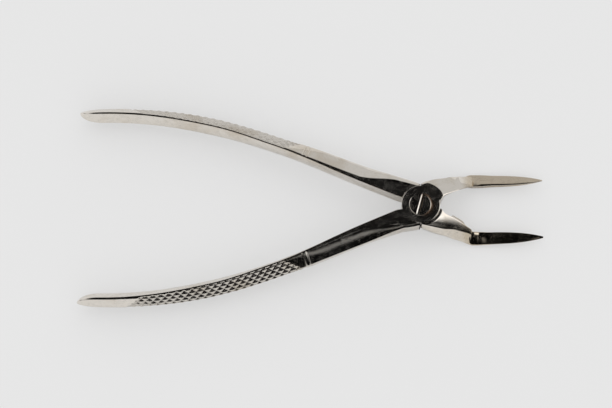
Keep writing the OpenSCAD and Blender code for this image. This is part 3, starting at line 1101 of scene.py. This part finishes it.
def lever(name, over, steel):
    """The over lever has its beak on the +Y side, and the under lever on the -Y side."""
    j, sizes = joint_sizes(), bpy.context.scene.forceps_handle
    own = OVER_NECK if over else UNDER_NECK
    middle, half_gap = j.height / 2, j.lap_gap / 2
    grip, start, end = handle(name, -own["side"], sizes.skew)
    grip = file_grip(grip, sizes, start, end, steel)
    neck = combine(neck_and_beak("neck", own), wedge(own["side"]), "DIFFERENCE")
    made = combine(grip, neck, "UNION")
    if over:
        cutter = shoulder_cut(-j.height, middle + half_gap, over)
        own_disc = disc(middle + half_gap, j.height, over)
    else:
        cutter = shoulder_cut(middle - half_gap, 2 * j.height, over)
        own_disc = disc(0, middle - half_gap, over)
    made = combine(made, cutter, "DIFFERENCE")
    made = combine(made, own_disc, "UNION")
    made = combine(made, bore(over), "DIFFERENCE")
    return finish_surface(made, steel)


def points_of(piece):
    """A piece's points, and their distances from the screw's axis."""
    co = np.zeros(len(piece.data.vertices) * 3, np.float32)
    piece.data.vertices.foreach_get("co", co)
    co = co.reshape(-1, 3)
    return co, np.hypot(co[:, 0], co[:, 1])


def lever_recess(piece, over):
    """How much each point of a lever is painted: up to 1 in a ring round the screw head on the
    over lever, brown that is partly a stain and partly painted shade, and 2 in the stop gap,
    which is painted near black as painted shade."""
    co, r = points_of(piece)
    height = joint_sizes().height
    ring_width, gap_side = 0.8 * mm, 0.45 * mm
    ring = fades(np.abs(r - HEAD_R), 0, ring_width) * over
    at_middle = np.abs(co[:, 2] - height / 2) < 0.3 * height
    from_y = np.where(at_middle, 7 * mm, 7.4 * mm)
    # Points in the stop gap, to be painted near black as painted shade.
    gap = (np.abs(co[:, 0]) < gap_side) & (np.abs(co[:, 1]) > from_y)
    return ring + 2 * gap


def screw_recess(piece):
    """How brown each point of the screw is: at the head's rim, partly a stain and partly
    painted shade, and deep in its slot, where it is painted shade.
    """
    co, r = points_of(piece)
    rim = fades(HEAD_R - r, 0, 0.5 * mm)
    # Painted shade: darker the deeper a point lies in the slot.
    deep = rises(SCREW_HIGH.z - co[:, 2], 0.5 * mm, 0.4 * mm)
    return np.clip(rim + deep, 0, 1)


class FORCEPS_OT_levers(bpy.types.Operator):
    """Build the under lever and the over lever"""

    bl_idname = "forceps.levers"
    bl_label = "Levers"

    def execute(self, context):
        # The last number sets how strongly the brown round the screw shows: partly a stain,
        # partly painted shade.
        steel = steel_material("lever_steel", context.scene.forceps_colours, 0.85)
        for node, over in (("under_lever", False), ("over_lever", True)):
            piece = lever(node + "_steel", over, steel)
            store(piece, "recess", lever_recess(piece, over))
            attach(piece, node)
            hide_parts(node)
        return {"FINISHED"}


def screw_body():
    """Turned screw: riveted tail, shank and faintly domed head."""
    j = joint_sizes()
    top = SCREW_HIGH.z
    seat = top - j.head_h
    rise, turn, dome_steps = 0.12 * mm, 1.2, 12
    dome = [(HEAD_R * sin(a), top - rise * (1 - cos(a * turn)) / (1 - cos(turn)))
            for a in np.linspace(1.15, 0, dome_steps)[:-1]]
    rim_z = dome[0][1]
    line = [(0, SCREW_LOW.z), (j.tail_d / 2, SCREW_LOW.z), (j.shank_d / 2, j.tail_h),
            (j.shank_d / 2, seat), (HEAD_R, seat), (HEAD_R, rim_z - 0.22 * mm),
            (HEAD_R - 0.05 * mm, rim_z - 0.08 * mm), *dome, (0, top)]
    return lathe("pivot_screw_steel", line)


def slot_cutter():
    """Cutter for the slot, whose upper edges are worn back, one more than the other."""
    j = joint_sizes()
    w, worn = 0.4 * j.slot_w, 0.42 * mm
    top = SCREW_HIGH.z
    floor_z, lip, above = top - j.slot_depth, top - 0.1 * mm, top + 0.3 * mm
    profile = [(-w, floor_z), (w, floor_z), (w, top - 0.3 * mm), (w + 0.08 * mm, lip),
               (w + 0.2 * mm, above), (-w - worn - 0.3 * mm, above), (-w - worn, lip),
               (-w, top - 0.33 * mm)]
    along = np.array([cos(j.slot_angle), sin(j.slot_angle)])
    across = np.array([sin(j.slot_angle), -cos(j.slot_angle)])
    far, near = ([(*(along * end + across * y), z) for y, z in profile]
                 for end in (2 * HEAD_R, -2 * HEAD_R))
    return prism("slot", far, near)


class FORCEPS_OT_pivot_screw(bpy.types.Operator):
    """Build the slotted pivot screw"""

    bl_idname = "forceps.pivot_screw"
    bl_label = "Pivot screw"

    def execute(self, context):
        # The last number sets how strongly the brown round the screw shows: partly a stain,
        # partly painted shade.
        steel = steel_material("screw_steel", context.scene.forceps_colours, 1.0)
        piece = combine(screw_body(), slot_cutter(), "DIFFERENCE")
        finish_surface(piece, steel)
        store(piece, "recess", screw_recess(piece))
        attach(piece, "under_lever")
        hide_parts("pivot_screw")
        return {"FINISHED"}


class FORCEPS_OT_stage(bpy.types.Operator):
    """Set out the floor, the light and the camera"""

    bl_idname = "forceps.stage"
    bl_label = "Stage"

    def execute(self, context):
        scene = context.scene
        lay_floor(scene)
        light_studio(scene)
        aim_camera(scene)
        scene.view_settings.view_transform = "Standard"
        return {"FINISHED"}


def lay_floor(scene):
    """Wide floor under the forceps."""
    low = CAD_BOX[0][2]
    half = 3.0
    corners = [(-half, -half, low), (half, -half, low), (half, half, low), (-half, half, low)]
    floor = solid("floor", corners, [(0, 1, 2, 3)])
    floor.data.materials.append(floor_material(scene.forceps_colours))


def studio_reflection(tree):
    """What polished steel sees of the studio, by direction: a dim ceiling, pale walls low at
    the back and the left, a bright window low at the right and a soft band at the front."""
    place = tree.add("ShaderNodeTexCoord").outputs["Generated"]
    parts = tree.add("ShaderNodeSeparateXYZ", None, {0: place})
    x, y, z = (tree.wire(parts, axis) for axis in "XYZ")
    raised = z - tree.step(x, 0.1, 0.35) * 0.34
    back = tree.step(y, 0.0, 0.35) * (1 - tree.step(raised, 0.48, 0.62))
    left = tree.step(-1 * x, 0.35, 0.55) * (1 - tree.step(z, 0.08, 0.22)
                                            + tree.band(z, (0.34, 0.44), (0.62, 0.8)))
    window = (tree.step(x, 0.22, 0.42) * tree.band(z, (0.1, 0.3), (0.9, 0.96))
              * tree.band(y, (-0.53, -0.12), (0.16, 0.42)))
    front = (tree.step(-1 * y, 0.25, 0.6) * tree.band(z, (0.54, 0.64), (0.66, 0.75))
             * tree.band(x, (0, 0.2), (0.36, 0.6)))
    ceiling = tree.step(tree.noise(place, 5.0, 4.0, 0.65), 0.45, 0.75)
    walls = tree.most(back * 0.61, left * 0.85)
    light = 0.003 + ceiling * 0.02 + walls + window * 1.4 + front * 0.2
    brightest = 1.8
    return tree.least(light, brightest)


def light_studio(scene):
    """Even white light on all surfaces, and the studio's reflection in the steel."""
    world = bpy.data.worlds.new("studio")
    world.use_nodes = True
    world.node_tree.nodes.clear()
    world.cycles.sampling_method = "NONE"
    tree = Tree(world.node_tree)
    glossy = tree.wire(tree.add("ShaderNodeLightPath"), "Is Glossy Ray")
    plain_level = 1.0
    strength = plain_level + (studio_reflection(tree) - plain_level) * glossy
    plain = tree.add("ShaderNodeBackground", None,
                     {"Color": rgba((1.0, 1.0, 1.0)), "Strength": strength})
    tree.add("ShaderNodeOutputWorld", None, {"Surface": plain.outputs[0]})
    scene.world = world


def aim_camera(scene):
    """Camera at the photograph's angle, its width of view given at the target."""
    elevation = radians(77)
    distance = 1.1
    pixels_per_metre = 2650
    target = Vector((-43.35 * mm, 0.05 * mm, 9 * mm))
    data = bpy.data.cameras.new("camera")
    data.sensor_width = 36
    data.lens = data.sensor_width * distance * pixels_per_metre / PHOTO_WIDTH
    data.clip_start = 0.01
    camera = bpy.data.objects.new("camera", data)
    scene.collection.objects.link(camera)
    camera.location = target + distance * Vector((0, -cos(elevation), sin(elevation)))
    camera.rotation_euler = (pi / 2 - elevation, 0, 0)
    scene.camera = camera


class FORCEPS_PT_panel(bpy.types.Panel):
    """Sizes, colours and pieces of the forceps"""

    bl_idname = "FORCEPS_PT_panel"
    bl_label = "Forceps"
    bl_space_type = "VIEW_3D"
    bl_region_type = "UI"
    bl_category = "Forceps"

    def draw(self, context):
        layout = self.layout
        for operator in OPERATORS:
            layout.operator(operator.bl_idname)
        for name, group in GROUPS.items():
            box = layout.box()
            box.label(text=group.__doc__)
            for field in group.__annotations__:
                box.prop(getattr(context.scene, name), field)


OPERATORS = [FORCEPS_OT_levers, FORCEPS_OT_pivot_screw, FORCEPS_OT_stage]
CLASSES = [*GROUPS.values(), *OPERATORS, FORCEPS_PT_panel]


def register():
    """Register the classes and their places in the scene."""
    for cls in CLASSES:
        bpy.utils.register_class(cls)
    for name, group in GROUPS.items():
        setattr(bpy.types.Scene, name, PointerProperty(type=group))


def unregister():
    """Take back what register did."""
    for name in GROUPS:
        delattr(bpy.types.Scene, name)
    for cls in reversed(CLASSES):
        bpy.utils.unregister_class(cls)


def main():
    """Build the forceps and their stage."""
    register()
    bpy.ops.forceps.levers()
    bpy.ops.forceps.pivot_screw()
    bpy.ops.forceps.stage()


if __name__ == "__main__":
    main()
